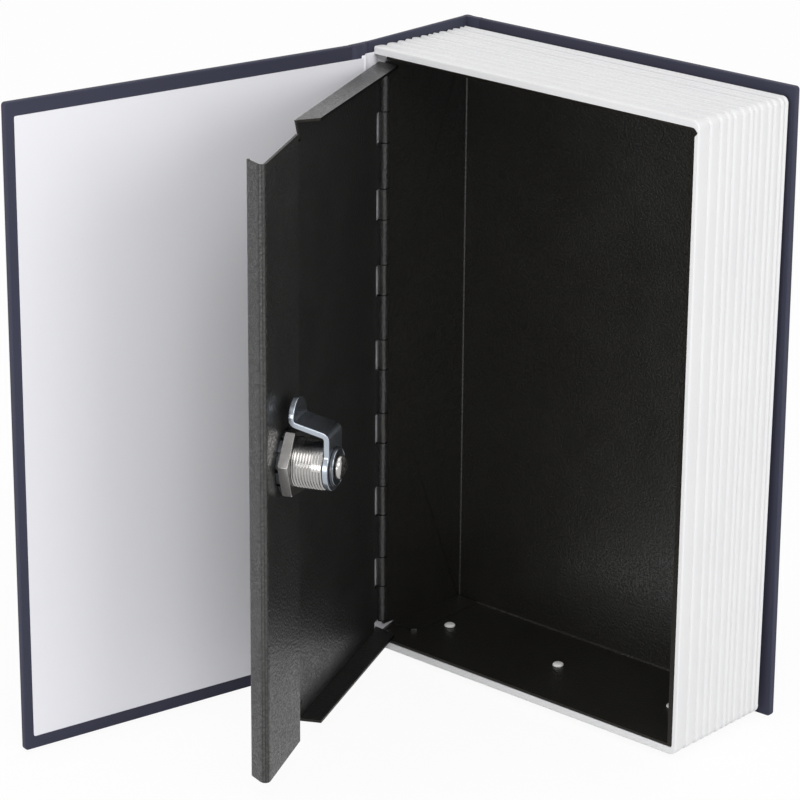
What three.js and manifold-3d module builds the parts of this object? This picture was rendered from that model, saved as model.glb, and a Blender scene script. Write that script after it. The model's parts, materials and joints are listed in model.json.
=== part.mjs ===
// Book diversion safe: a hollow hardback book with a folded steel box and a locking steel door inside.
// The book stands upright on the edges of its boards. +X runs from the spine to the fore-edge, +Y from the
// front of the book to its back, +Z up. The cover and the door are drawn open.
import * as THREE from 'three';
import { mergeVertices } from 'three/addons/utils/BufferGeometryUtils.js';
import Module from 'manifold-3d';

const wasm = await Module();
wasm.setup();

// Steel box
const SHEET = 1.0;
const BOX_WIDTH = 144.6;
const BOX_HEIGHT = 229.4;
const BOX_DEPTH = 50.7;
const BOX_BEND = 0.8;
const BOX_SETBACK = 0.2;
const BOX_SPINE_GAP = 0.4;
const NOTCH_DEPTH = 11.6;
const NOTCH_DROP = 2.6;
const NOTCH_RISE = 1.5;
const TAB_WIDTH = 10.0;
const TAB_CORNER = 1.6;

// Hinge: seven knuckles on the box, eight on the door
const PIN_RADIUS = 0.8;
const PIN_CLEARANCE = 0.25;
const BOX_KNUCKLES = 7;
const KNUCKLE_PITCH = 29.2;
const BOX_KNUCKLE_LENGTH = 11.5;
const KNUCKLE_GAP = 0.3;
const BARREL_LENGTH = 215.2;
const LEAF_SLOT = 3.2;
const DOOR_RECESS = 0.9;

// Door
const DOOR_WIDTH = 139.6;
const DOOR_DEPTH = 8.2;
const DOOR_END_GAP = 1.8;
const EDGE_SLANT = 6.6;
const LIP_WIDTH = 37.0;
const SHEET_BEND = 1.4;
const FLANGE_LENGTH = 88.0;
const FLANGE_MITRE = 7.5;
const FLANGE_START = 0.6;
const FLANGE_SPLAY = 1.8;
const DOOR_NOTCH_DROP = 7.0;
const DOOR_NOTCH_END = 7.6;
const DOOR_OPEN = 67.05;

// Cam lock
const LOCK_FROM_EDGE = 21.3;
const LOCK_RISE = 1.1;
const LOCK_LENGTH = 23.8;
const LOCK_RADIUS = 9.2;
const LOCK_FLATS = 16.4;
const LOCK_HEAD_RADIUS = 11.0;
const LOCK_HEAD = 1.3;
const LOCK_FIT = 0.25;
const NUT_FLATS = 22.2;
const NUT_THICKNESS = 3.6;
const PLUG_RADIUS = 5.75;
const PLUG_POST = 7.0;
const KEYWAY_WIDTH = 2.0;
const KEYWAY_HEIGHT = 8.4;
const KEYWAY_DEPTH = 18.5;
const WAFER_COUNT = 5;
const WAFER_PITCH = 2.9;
const WAFER_THICKNESS = 0.9;
const WAFER_WIDTH = 5.0;
const WAFER_HEIGHT = 10.4;
const WAFER_WINDOW = 6.4;
const WAFER_LIFT = 0.45;
const CAM_THICKNESS = 2.0;
const CAM_HUB_RADIUS = 8.5;
const CAM_ARM_WIDTH = 13.0;
const CAM_REACH = 23.6;
const CAM_CRANK = 12.8;
const CAM_CRANK_GAP = 2.4;
const CAM_CRANK_LEAN = 3.1;
const CAM_BEND = 1.9;
const WASHER_RADIUS = 7.0;
const WASHER_THICKNESS = 0.9;
const SCREW_RADIUS = 1.5;
const SCREW_HEAD_RADIUS = 4.25;
const SCREW_HEAD = 2.2;
const SCREW_LENGTH = 8.0;

// Page block moulding
const BOX_FIT = 0.2;
const PAGE_FORE_WALL = 1.8;
const PAGE_TOP_WALL = 2.8;
const PAGE_FOOT_WALL = 3.0;
const PAGE_TOP_FALL = 1.6;
const RIB_DEPTH = 1.1;
const THINNEST_SHARE = 0.4;
const RIB_WIDTHS = [6.6, 5.7, 4.3, 3.5, 4.9, 4.1, 2.7, 3.4, 4.6, 3.0, 4.1, 2.4, 1.7];
const RIM_ROUND = 0.8;

// Rivets that hold the moulding to the box
const RIVET_COUNT = 3;
const RIVET_FIRST = 17.6;
const RIVET_PITCH = 54.0;
const RIVET_HEAD_RADIUS = 2.1;
const RIVET_HEAD = 1.1;
const RIVET_RADIUS = 1.3;
const RIVET_DEPTH = 0.5;
const RIVET_FIT = 0.15;

// Book case: cloth over greyboard, with paper pasted inside
const CLOTH = 0.35;
const PAPER = 0.3;
const COVER_BOARD = 1.7;
const SPINE_BOARD = 1.0;
const LAYER_GAP = 0.1;
const FORE_SQUARE = 1.7;
const TOP_SQUARE = 1.8;
const FOOT_SQUARE = 2.6;
const SPINE_GAP = 0.05;
const PAPER_MARGIN = 4.0;
const TURN_IN = 12.0;
const GROOVE = 5.0;
const GROOVE_DIP = 0.25;
const COVER_GAP = 1.2;
const HINGE_INSET = 0.25;
const SPINE_HEM = 5.0;
const JOINT_GAP = 0.3;
const COVER_OPEN = 102.03;

// Places worked out from the sizes above, in the frame of the page block's front corner at the spine
const boxLeft = BOX_SPINE_GAP;
const boxRight = boxLeft + BOX_WIDTH;
const boxFront = BOX_SETBACK;
const boxBack = boxFront + BOX_DEPTH;
const boxFoot = FOOT_SQUARE + PAGE_FOOT_WALL + BOX_FIT;
const boxHead = boxFoot + BOX_HEIGHT;
const middle = (boxFoot + boxHead) / 2;
const innerLeft = boxLeft + SHEET;
const innerRight = boxRight - SHEET;
const innerFoot = boxFoot + SHEET;
const innerHead = boxHead - SHEET;
const innerBack = boxBack - SHEET;
const pageRight = boxRight + BOX_FIT + PAGE_FORE_WALL;
const pageDepth = boxBack + LAYER_GAP;
const pageFoot = FOOT_SQUARE;
const pageHead = boxHead + BOX_FIT + PAGE_TOP_WALL;
const boardHeight = pageHead + TOP_SQUARE;
const coverPack = CLOTH + LAYER_GAP + COVER_BOARD + LAYER_GAP + CLOTH + LAYER_GAP + PAPER;
const spineWrap = CLOTH + LAYER_GAP + SPINE_BOARD + LAYER_GAP + CLOTH;
const spineInner = -SPINE_GAP;
const spineWrapInner = spineInner - PAPER - LAYER_GAP;
const spineOuter = spineWrapInner - spineWrap;
const spineEndRadius = spineWrap / 2;
const coverHingeX = spineOuter + spineEndRadius;
const coverHingeY = HINGE_INSET - COVER_GAP - coverPack;
const coverStart = spineInner - coverHingeX + JOINT_GAP;
const coverEnd = pageRight + FORE_SQUARE - coverHingeX;
const backOuter = pageDepth + LAYER_GAP + coverPack;
const barrelRadius = PIN_RADIUS + PIN_CLEARANCE + SHEET;
const hingeX = boxLeft + barrelRadius;
const hingeY = boxFront + DOOR_RECESS - LAYER_GAP * 2 + barrelRadius;
const wallCutBack = hingeY + barrelRadius + 2 * KNUCKLE_GAP;
const doorFoot = innerFoot + DOOR_END_GAP;
const doorHead = innerHead - DOOR_END_GAP;
const doorOuter = -barrelRadius;
const doorInner = doorOuter + DOOR_DEPTH;
const lockX = DOOR_WIDTH - LOCK_FROM_EDGE;
const lockZ = middle + LOCK_RISE;
const lockEnd = doorOuter - LAYER_GAP + LOCK_LENGTH;
const lockFace = doorOuter - LAYER_GAP - LOCK_HEAD;
const camFoot = lockEnd + LOCK_FIT;
const camHead = camFoot + CAM_THICKNESS;
const camTipFoot = camFoot - CAM_CRANK;
const camCrankInner = LOCK_RADIUS + CAM_CRANK_GAP;
const washerFoot = camHead + LAYER_GAP;
const screwFoot = washerFoot + WASHER_THICKNESS + LAYER_GAP;
const hemBack = hingeY + camTipFoot - LOCK_FIT * 2;

const ROUND = 32;
const FINE_ROUND = 20;
const RIVET_ROUND = 16;
const BEND_STEPS = 4;
const REACH = 400;

// Solid helpers
function solidOf(geometry) {
  const bare = geometry.clone();
  bare.deleteAttribute('normal');
  bare.deleteAttribute('uv');
  const merged = mergeVertices(bare, 1e-4);
  return new wasm.Manifold(new wasm.Mesh({
    numProp: 3,
    vertProperties: new Float32Array(merged.attributes.position.array),
    triVerts: new Uint32Array(merged.index.array),
  }));
}

function geometryOf(solid) {
  const mesh = solid.getMesh();
  const geometry = new THREE.BufferGeometry();
  geometry.setAttribute('position', new THREE.BufferAttribute(new Float32Array(mesh.vertProperties), 3));
  geometry.setIndex(new THREE.BufferAttribute(new Uint32Array(mesh.triVerts), 1));
  geometry.computeVertexNormals();
  return geometry;
}

function block(x0, x1, y0, y1, z0, z1) {
  const box = new THREE.BoxGeometry(x1 - x0, y1 - y0, z1 - z0);
  box.translate((x0 + x1) / 2, (y0 + y1) / 2, (z0 + z1) / 2);
  return solidOf(box);
}

function rodZ(radius, x, y, z0, z1, sides) {
  const rod = new THREE.CylinderGeometry(radius, radius, z1 - z0, sides);
  rod.rotateX(Math.PI / 2);
  rod.translate(x, y, (z0 + z1) / 2);
  return solidOf(rod);
}

function rodY(radius, x, z, y0, y1, sides) {
  const rod = new THREE.CylinderGeometry(radius, radius, y1 - y0, sides);
  rod.translate(x, (y0 + y1) / 2, z);
  return solidOf(rod);
}

function extruded(shape, depth, curveSegments) {
  return new THREE.ExtrudeGeometry(shape, { depth, bevelEnabled: false, curveSegments });
}

// A shape drawn in X and Y, raised from z0 to z1
function raised(shape, z0, z1) {
  const prism = extruded(shape, z1 - z0, BEND_STEPS);
  prism.translate(0, 0, z0);
  return solidOf(prism);
}

// A shape drawn in X and Z, run from y0 to y1
function run(shape, y0, y1) {
  const prism = extruded(shape, y1 - y0, BEND_STEPS);
  prism.rotateX(Math.PI / 2);
  prism.translate(0, y1, 0);
  return solidOf(prism);
}

function roundedFrame(x0, x1, z0, z1, radius) {
  const shape = new THREE.Shape();
  shape.absarc(x1 - radius, z0 + radius, radius, -Math.PI / 2, 0, false);
  shape.absarc(x1 - radius, z1 - radius, radius, 0, Math.PI / 2, false);
  shape.absarc(x0 + radius, z1 - radius, radius, Math.PI / 2, Math.PI, false);
  shape.absarc(x0 + radius, z0 + radius, radius, Math.PI, 1.5 * Math.PI, false);
  return shape;
}

// Section of a bent sheet: straight runs between the given centre-line corners, with a round at each bend
function bentSheet(corners, thickness, bendRadius) {
  const left = [];
  const right = [];
  const put = (point, direction) => {
    const side = new THREE.Vector2(-direction.y, direction.x).multiplyScalar(thickness / 2);
    left.push(point.clone().add(side));
    right.push(point.clone().sub(side));
  };
  for (let i = 0; i < corners.length; i++) {
    const here = corners[i];
    const before = i > 0 ? here.clone().sub(corners[i - 1]).normalize() : null;
    const after = i < corners.length - 1 ? corners[i + 1].clone().sub(here).normalize() : null;
    if (!before || !after) {
      put(here, before || after);
      continue;
    }
    const turn = Math.atan2(before.x * after.y - before.y * after.x, before.dot(after));
    const setback = bendRadius * Math.tan(Math.abs(turn) / 2);
    const inward = new THREE.Vector2(-before.y, before.x).multiplyScalar(Math.sign(turn) * bendRadius);
    const centre = here.clone().addScaledVector(before, -setback).add(inward);
    for (let step = 0; step <= BEND_STEPS; step++) {
      const angle = turn * step / BEND_STEPS;
      const arm = inward.clone().negate().rotateAround(new THREE.Vector2(), angle);
      put(centre.clone().add(arm), before.clone().rotateAround(new THREE.Vector2(), angle));
    }
  }
  return new THREE.Shape([...right, ...left.reverse()]);
}

// A disc with two upright flats, drawn in X and Z round the given centre
function doubleD(radius, flats, x, z) {
  const start = Math.acos(flats / 2 / radius);
  const shape = new THREE.Shape();
  shape.absarc(x, z, radius, start, Math.PI - start, false);
  shape.absarc(x, z, radius, Math.PI + start, 2 * Math.PI - start, false);
  return shape;
}

// Book case: one covered board, drawn with its outer cloth face at y = outer and its joint edge at x = start.
// The cloth is turned in over the board's edges and joins the spine by a thin strip along the joint.
function boardCloth(start, end, outer) {
  const edge = start + GROOVE;
  const wrapInner = outer + CLOTH + LAYER_GAP + COVER_BOARD + LAYER_GAP + CLOTH;
  const wrap = block(edge, end, outer, wrapInner, 0, boardHeight);
  const head = boardHeight - CLOTH;
  const pocket = block(edge + CLOTH, end - CLOTH, outer + CLOTH, wrapInner - CLOTH, CLOTH, head);
  const mouthHead = boardHeight - TURN_IN;
  const mouth = block(edge - 1, end - TURN_IN, wrapInner - 2 * CLOTH, wrapInner + 1, TURN_IN, mouthHead);
  const dip = outer + GROOVE_DIP;
  const strip = block(start, edge + CLOTH / 2, dip, dip + CLOTH, 0, boardHeight);
  return wrap.subtract(pocket).subtract(mouth).add(strip);
}

function boardCore(start, end, outer) {
  const shell = CLOTH + LAYER_GAP;
  const low = outer + shell;
  return block(start + GROOVE + shell, end - shell, low, low + COVER_BOARD, shell, boardHeight - shell);
}

function boardPaper(start, end, outer) {
  const top = outer + coverPack;
  return block(start, end - PAPER_MARGIN, top - PAPER, top, PAPER_MARGIN, boardHeight - PAPER_MARGIN);
}

function spineCloth() {
  const back = backOuter - spineEndRadius;
  const wrap = block(spineOuter, spineWrapInner, coverHingeY, back, 0, boardHeight)
    .add(rodZ(spineEndRadius, coverHingeX, coverHingeY, 0, boardHeight, FINE_ROUND))
    .add(rodZ(spineEndRadius, coverHingeX, back, 0, boardHeight, FINE_ROUND));
  const front = coverHingeY + CLOTH;
  const rear = back - CLOTH;
  const pocket = block(spineOuter + CLOTH, spineWrapInner - CLOTH, front, rear, CLOTH, boardHeight - CLOTH);
  const mouthFront = coverHingeY + SPINE_HEM;
  const mouth = block(spineWrapInner - 2 * CLOTH, 1, mouthFront, rear, TURN_IN, boardHeight - TURN_IN);
  return wrap.subtract(pocket).subtract(mouth);
}

function spineBoard() {
  const shell = CLOTH + LAYER_GAP;
  const low = spineOuter + shell;
  const rear = backOuter - spineEndRadius - shell;
  return block(low, low + SPINE_BOARD, coverHingeY + shell, rear, shell, boardHeight - shell);
}

function spinePaper() {
  return block(spineInner - PAPER, spineInner, 0, pageDepth, PAPER_MARGIN, boardHeight - PAPER_MARGIN);
}

// Page block: a ribbed wall swept along the top, the fore-edge and the foot. Each rib rises steeply to a
// narrow crest at its front and falls away to the next one.
function ribProfile() {
  const profile = [
    { y: 0, inner: true },
    { y: 0, cut: RIM_ROUND },
    { y: RIM_ROUND * 0.25, cut: RIM_ROUND * 0.35 },
    { y: RIM_ROUND * 0.8, cut: RIM_ROUND * 0.06 },
  ];
  const scale = pageDepth / RIB_WIDTHS.reduce((sum, width) => sum + width, 0);
  let start = 0;
  RIB_WIDTHS.forEach((ribWidth, index) => {
    const width = ribWidth * scale;
    if (index > 0) {
      profile.push({ y: start, cut: RIB_DEPTH });
      profile.push({ y: start + width * 0.08, cut: RIB_DEPTH * 0.35 });
    }
    profile.push({ y: start + width * 0.2, cut: 0 });
    profile.push({ y: start + width * 0.42, cut: RIB_DEPTH * 0.35 });
    start += width;
  });
  profile.push({ y: pageDepth, cut: RIB_DEPTH });
  profile.push({ y: pageDepth, inner: true });
  return profile;
}

// Stations of the sweep: place and outward normal in X and Z, and the wall's thickness there
function pagePath() {
  const radius = BOX_BEND + BOX_FIT;
  const right = boxRight + BOX_FIT;
  const head = boxHead + BOX_FIT;
  const foot = boxFoot - BOX_FIT;
  const stations = [{ x: 0, z: head, nx: 0, nz: 1, wall: PAGE_TOP_WALL, fall: PAGE_TOP_FALL }];
  const corner = (cz, from, wallA, wallB, fallA, fallB) => {
    for (let step = 0; step <= 2 * BEND_STEPS; step++) {
      const share = step / (2 * BEND_STEPS);
      const angle = from - share * Math.PI / 2;
      const nx = Math.cos(angle);
      const nz = Math.sin(angle);
      stations.push({
        x: right - radius + radius * nx, z: cz + radius * nz, nx, nz,
        wall: wallA + (wallB - wallA) * share, fall: fallA + (fallB - fallA) * share,
      });
    }
  };
  corner(head - radius, Math.PI / 2, PAGE_TOP_WALL, PAGE_FORE_WALL, PAGE_TOP_FALL, 0);
  corner(foot + radius, 0, PAGE_FORE_WALL, PAGE_FOOT_WALL, 0, 0);
  stations.push({ x: 0, z: foot, nx: 0, nz: -1, wall: PAGE_FOOT_WALL, fall: 0 });
  return stations;
}

function pageBlock() {
  const profile = ribProfile();
  const stations = pagePath();
  const positions = [];
  for (const station of stations) {
    for (const point of profile) {
      const local = station.wall - station.fall * point.y / pageDepth;
      const out = point.inner ? 0 : Math.max(local - point.cut, local * THINNEST_SHARE);
      positions.push(station.x + station.nx * out, point.y, station.z + station.nz * out);
    }
  }
  const count = profile.length;
  const indices = [];
  for (let s = 0; s < stations.length - 1; s++) {
    for (let i = 0; i < count; i++) {
      const next = (i + 1) % count;
      const a = s * count + i;
      const b = s * count + next;
      const c = a + count;
      const d = b + count;
      indices.push(a, c, b, b, c, d);
    }
  }
  const outline = profile.map((point, i) => new THREE.Vector2(point.y, positions[3 * i + 2]));
  const last = (stations.length - 1) * count;
  for (const [a, b, c] of THREE.ShapeUtils.triangulateShape(outline, [])) {
    indices.push(a, c, b);
    indices.push(last + a, last + b, last + c);
  }
  const geometry = new THREE.BufferGeometry();
  geometry.setAttribute('position', new THREE.Float32BufferAttribute(positions, 3));
  geometry.setIndex(indices);
  let shell = solidOf(geometry);
  for (const x of rivetPlaces()) {
    const y = (boxFront + boxBack) / 2;
    const hole = RIVET_RADIUS + RIVET_FIT;
    const deep = RIVET_DEPTH + RIVET_FIT;
    shell = shell.subtract(rodZ(hole, x, y, boxFoot - BOX_FIT - deep, boxFoot, RIVET_ROUND));
    shell = shell.subtract(rodZ(hole, x, y, boxHead, boxHead + BOX_FIT + deep, RIVET_ROUND));
  }
  return shell;
}

function rivetPlaces() {
  return Array.from({ length: RIVET_COUNT }, (_, i) => RIVET_FIRST + i * RIVET_PITCH);
}

// A mushroom rivet: head on the steel, shank through it into the moulding. The head faces up where up = 1.
function rivet(x, seat, up) {
  const y = (boxFront + boxBack) / 2;
  const shank = SHEET + BOX_FIT + RIVET_DEPTH + LAYER_GAP;
  const half = [
    [0, -shank], [RIVET_RADIUS, -shank], [RIVET_RADIUS, 0], [RIVET_HEAD_RADIUS, 0],
    [RIVET_HEAD_RADIUS, RIVET_HEAD * 0.4], [RIVET_HEAD_RADIUS * 0.75, RIVET_HEAD * 0.85], [0, RIVET_HEAD],
  ].map(([r, h]) => new THREE.Vector2(r, h));
  const turned = new THREE.LatheGeometry(half, RIVET_ROUND);
  turned.rotateX(up * Math.PI / 2);
  turned.translate(x, y, seat + up * LAYER_GAP);
  return solidOf(turned);
}

// Heights of the hinge knuckles that belong to the box
function boxKnuckleRows() {
  const rows = [];
  for (let i = 0; i < BOX_KNUCKLES; i++) {
    const centre = middle + (i - (BOX_KNUCKLES - 1) / 2) * KNUCKLE_PITCH;
    rows.push([centre - BOX_KNUCKLE_LENGTH / 2, centre + BOX_KNUCKLE_LENGTH / 2]);
  }
  return rows;
}

// Relief notch in the spine-side wall at the given height, over the floor (up = 1) or under the ceiling (-1)
function wallNotch(seat, up) {
  const shape = new THREE.Shape();
  shape.moveTo(-REACH, seat);
  shape.lineTo(wallCutBack, seat);
  shape.lineTo(boxFront + NOTCH_DEPTH, seat + up * NOTCH_RISE);
  shape.lineTo(boxFront + NOTCH_DEPTH, seat + up * NOTCH_DROP);
  shape.lineTo(-REACH, seat + up * NOTCH_DROP);
  const prism = extruded(shape, 2 * SHEET, BEND_STEPS);
  prism.rotateX(Math.PI / 2);
  prism.rotateZ(Math.PI / 2);
  prism.translate(boxLeft - SHEET / 2, 0, 0);
  return solidOf(prism);
}

function steelBox() {
  const outline = roundedFrame(boxLeft, boxRight, boxFoot, boxHead, BOX_BEND);
  const hollow = block(innerLeft, innerRight, boxFront - 1, innerBack, innerFoot, innerHead);
  let box = run(outline, boxFront, boxBack).subtract(hollow);

  // hem folded back inside the fore-edge wall
  const [hemFoot, hemHead] = [boxFoot + SHEET / 2, boxHead - SHEET / 2];
  box = box.add(block(innerRight - SHEET, innerRight + SHEET / 2, boxFront, hemBack, hemFoot, hemHead));

  // front of the spine-side wall cut back for the hinge, and slanted relief notches in its corners
  box = box.subtract(block(-REACH, innerLeft + SHEET, -REACH, wallCutBack, innerFoot, innerHead));
  box = box.subtract(wallNotch(innerFoot, 1)).subtract(wallNotch(innerHead, -1));

  // the wall's tabs, folded onto the floor and under the ceiling
  const tab = new THREE.Shape();
  tab.moveTo(innerLeft - SHEET / 2, boxFront + NOTCH_DEPTH);
  tab.lineTo(innerLeft + TAB_WIDTH - TAB_CORNER, boxFront + NOTCH_DEPTH);
  tab.lineTo(innerLeft + TAB_WIDTH, boxFront + NOTCH_DEPTH + TAB_CORNER);
  tab.lineTo(innerLeft + TAB_WIDTH, innerBack - SHEET);
  tab.lineTo(innerLeft - SHEET / 2, innerBack - SHEET);
  box = box.add(raised(tab, innerFoot - SHEET / 2, innerFoot + SHEET));
  box = box.add(raised(tab, innerHead - SHEET, innerHead + SHEET / 2));

  // rolled knuckles, each on a leaf of the wall
  for (const [z0, z1] of boxKnuckleRows()) {
    box = box.add(rodZ(barrelRadius, hingeX, hingeY, z0, z1, FINE_ROUND));
    box = box.add(block(boxLeft, innerLeft, hingeY, wallCutBack + SHEET, z0, z1));
  }
  box = box.subtract(rodZ(PIN_RADIUS + PIN_CLEARANCE, hingeX, hingeY, 0, REACH, FINE_ROUND));

  // slot for the tip of the cam, and holes for the rivets
  const slotFront = hingeY + camTipFoot - LOCK_FIT;
  const slotBack = hingeY + camTipFoot + CAM_THICKNESS + LOCK_FIT;
  const slotHalf = CAM_ARM_WIDTH / 2 + 2 * LOCK_FIT;
  const [slotFoot, slotHead] = [lockZ - slotHalf, lockZ + slotHalf];
  box = box.subtract(block(innerRight - SHEET / 2, REACH, slotFront, slotBack, slotFoot, slotHead));
  for (const x of rivetPlaces()) {
    const hole = RIVET_RADIUS + RIVET_FIT;
    const y = (boxFront + boxBack) / 2;
    box = box.subtract(rodZ(hole, x, y, 0, innerFoot + 2 * SHEET, RIVET_ROUND));
    box = box.subtract(rodZ(hole, x, y, innerHead - 2 * SHEET, REACH, RIVET_ROUND));
  }
  return box;
}

function hingePin() {
  const low = middle - BARREL_LENGTH / 2;
  const high = middle + BARREL_LENGTH / 2;
  const peened = PIN_RADIUS + PIN_CLEARANCE + SHEET / 2;
  const cap = SHEET / 2;
  return rodZ(PIN_RADIUS, hingeX, hingeY, low - KNUCKLE_GAP - cap, high + KNUCKLE_GAP + cap, FINE_ROUND)
    .add(rodZ(peened, hingeX, hingeY, low - KNUCKLE_GAP - cap, low - KNUCKLE_GAP, FINE_ROUND))
    .add(rodZ(peened, hingeX, hingeY, high + KNUCKLE_GAP, high + KNUCKLE_GAP + cap, FINE_ROUND));
}

// Door, drawn shut about its hinge axis: X across the door, Y into the box
function doorPanel() {
  const sheetMiddle = doorOuter + SHEET / 2;
  const lipMiddle = doorInner - SHEET / 2;
  const section = bentSheet([
    new THREE.Vector2(0, sheetMiddle),
    new THREE.Vector2(DOOR_WIDTH - EDGE_SLANT, sheetMiddle),
    new THREE.Vector2(DOOR_WIDTH - SHEET, lipMiddle),
    new THREE.Vector2(DOOR_WIDTH - LIP_WIDTH, lipMiddle),
  ], SHEET, SHEET_BEND);
  let door = raised(section, doorFoot, doorHead);

  // corners cut away beside the free edge, on the panel only
  const notchEnd = DOOR_WIDTH - DOOR_NOTCH_END;
  for (const [z0, z1] of [[0, doorFoot + DOOR_NOTCH_DROP], [doorHead - DOOR_NOTCH_DROP, REACH]]) {
    door = door.subtract(block(FLANGE_LENGTH, notchEnd, -REACH, doorOuter + 2 * SHEET, z0, z1));
  }

  // hinge leaf: whole barrel first, then the rows of the box's knuckles cut out
  const low = middle - BARREL_LENGTH / 2;
  const high = middle + BARREL_LENGTH / 2;
  const slotEnd = barrelRadius + LEAF_SLOT;
  door = door.subtract(block(-REACH, slotEnd, -REACH, 0, -REACH, low));
  door = door.subtract(block(-REACH, slotEnd, -REACH, 0, high, REACH));
  door = door.add(rodZ(barrelRadius, 0, 0, low, high, FINE_ROUND));
  door = door.subtract(rodZ(PIN_RADIUS + PIN_CLEARANCE, 0, 0, 0, REACH, FINE_ROUND));
  for (const [z0, z1] of boxKnuckleRows()) {
    const gap = KNUCKLE_GAP;
    door = door.subtract(block(-REACH, slotEnd, -REACH, barrelRadius + SHEET, z0 - gap, z1 + gap));
  }

  // flanges at the head and the foot, mitred at both ends
  const flange = new THREE.Shape();
  flange.moveTo(FLANGE_START, doorOuter);
  flange.lineTo(FLANGE_LENGTH, doorOuter);
  flange.lineTo(FLANGE_LENGTH - FLANGE_MITRE, doorInner);
  flange.lineTo(FLANGE_START + FLANGE_SPLAY, doorInner);
  door = door.add(raised(flange, doorFoot, doorFoot + SHEET));
  door = door.add(raised(flange, doorHead - SHEET, doorHead));

  // shaped hole for the lock, through the panel and the lip
  const hole = doubleD(LOCK_RADIUS + LOCK_FIT, LOCK_FLATS + 2 * LOCK_FIT, lockX, lockZ);
  return door.subtract(run(hole, -REACH, REACH));
}

// Lock pieces, drawn about the lock's axis: Y along the axis into the box, Z up
function lockHousing() {
  const body = run(doubleD(LOCK_RADIUS, LOCK_FLATS, 0, 0), doorOuter - LAYER_GAP - LOCK_HEAD / 2, lockEnd);
  const head = rodY(LOCK_HEAD_RADIUS, 0, 0, lockFace, doorOuter - LAYER_GAP, ROUND);
  return body.add(head).subtract(rodY(PLUG_RADIUS + LOCK_FIT, 0, 0, -REACH, REACH, ROUND));
}

function lockNut() {
  const low = doorInner + LAYER_GAP;
  const corner = NUT_FLATS / Math.sqrt(3);
  const hexagon = new THREE.CylinderGeometry(corner, corner, NUT_THICKNESS, 6);
  hexagon.rotateY(Math.PI / 6);
  hexagon.translate(0, low + NUT_THICKNESS / 2, 0);
  return solidOf(hexagon).subtract(rodY(LOCK_RADIUS + LOCK_FIT, 0, 0, -REACH, REACH, ROUND));
}

function waferPlaces() {
  const first = lockFace + WAFER_PITCH;
  return Array.from({ length: WAFER_COUNT }, (_, i) => first + i * WAFER_PITCH);
}

function lockPlug() {
  const face = lockFace + LOCK_FIT;
  const core = rodY(PLUG_RADIUS, 0, 0, face, lockEnd, ROUND);
  const side = PLUG_POST / 2;
  let plug = core.add(block(-side, side, lockEnd - 1, camHead - LAYER_GAP, -side, side));
  const half = KEYWAY_WIDTH / 2;
  const tall = KEYWAY_HEIGHT / 2;
  plug = plug.subtract(block(-half, half, -REACH, face + KEYWAY_DEPTH, -tall, tall));
  const slot = WAFER_WIDTH / 2 + LAYER_GAP;
  for (const y of waferPlaces()) {
    const back = y + WAFER_THICKNESS + LAYER_GAP;
    plug = plug.subtract(block(-slot, slot, y - LAYER_GAP, back, -PLUG_RADIUS, PLUG_RADIUS));
  }
  const screwEnd = screwFoot - SCREW_LENGTH - LOCK_FIT;
  return plug.subtract(rodY(SCREW_RADIUS + LAYER_GAP, 0, 0, screwEnd, REACH, FINE_ROUND));
}

function wafer(index) {
  const y = waferPlaces()[index];
  const lift = index % 2 === 0 ? WAFER_LIFT : -WAFER_LIFT;
  const half = WAFER_WIDTH / 2;
  const plate = block(-half, half, y, y + WAFER_THICKNESS, -WAFER_HEIGHT / 2, WAFER_HEIGHT / 2);
  const window = KEYWAY_WIDTH / 2 + LOCK_FIT;
  const reach = WAFER_WINDOW / 2;
  return plate.subtract(block(-window, window, -REACH, REACH, lift - reach, lift + reach));
}

// Cam: a plate cranked back towards the door, with a round hub and a rounded tip
function camPlate() {
  const hubMiddle = camFoot + CAM_THICKNESS / 2;
  const tipMiddle = camTipFoot + CAM_THICKNESS / 2;
  const crankMiddle = camCrankInner + CAM_THICKNESS / 2;
  const section = bentSheet([
    new THREE.Vector2(-CAM_HUB_RADIUS - 1, hubMiddle),
    new THREE.Vector2(crankMiddle, hubMiddle),
    new THREE.Vector2(crankMiddle + CAM_CRANK_LEAN, tipMiddle),
    new THREE.Vector2(CAM_REACH + 1, tipMiddle),
  ], CAM_THICKNESS, CAM_BEND);
  const strip = extruded(section, 2 * CAM_HUB_RADIUS, BEND_STEPS);
  strip.translate(0, 0, -CAM_HUB_RADIUS);
  strip.rotateY(-Math.PI / 2);
  const half = CAM_ARM_WIDTH / 2;
  const outline = new THREE.Shape();
  outline.absarc(0, CAM_REACH - half, half, 0, Math.PI, false);
  const shoulder = Math.sqrt(CAM_HUB_RADIUS ** 2 - half ** 2);
  const start = Math.PI - Math.atan2(shoulder, half);
  outline.absarc(0, 0, CAM_HUB_RADIUS, start, 3 * Math.PI - start, false);
  const blank = extruded(outline, REACH, ROUND / 2);
  blank.rotateX(Math.PI / 2);
  blank.translate(0, REACH / 2, 0);
  const hole = PLUG_POST / 2 + LAYER_GAP;
  const post = block(-hole, hole, camTipFoot + 2 * CAM_THICKNESS, REACH, -hole, hole);
  return solidOf(strip).intersect(solidOf(blank)).subtract(post);
}

function camWasher() {
  const ring = rodY(WASHER_RADIUS, 0, 0, washerFoot, washerFoot + WASHER_THICKNESS, ROUND);
  return ring.subtract(rodY(SCREW_RADIUS + LOCK_FIT, 0, 0, -REACH, REACH, FINE_ROUND));
}

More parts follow.
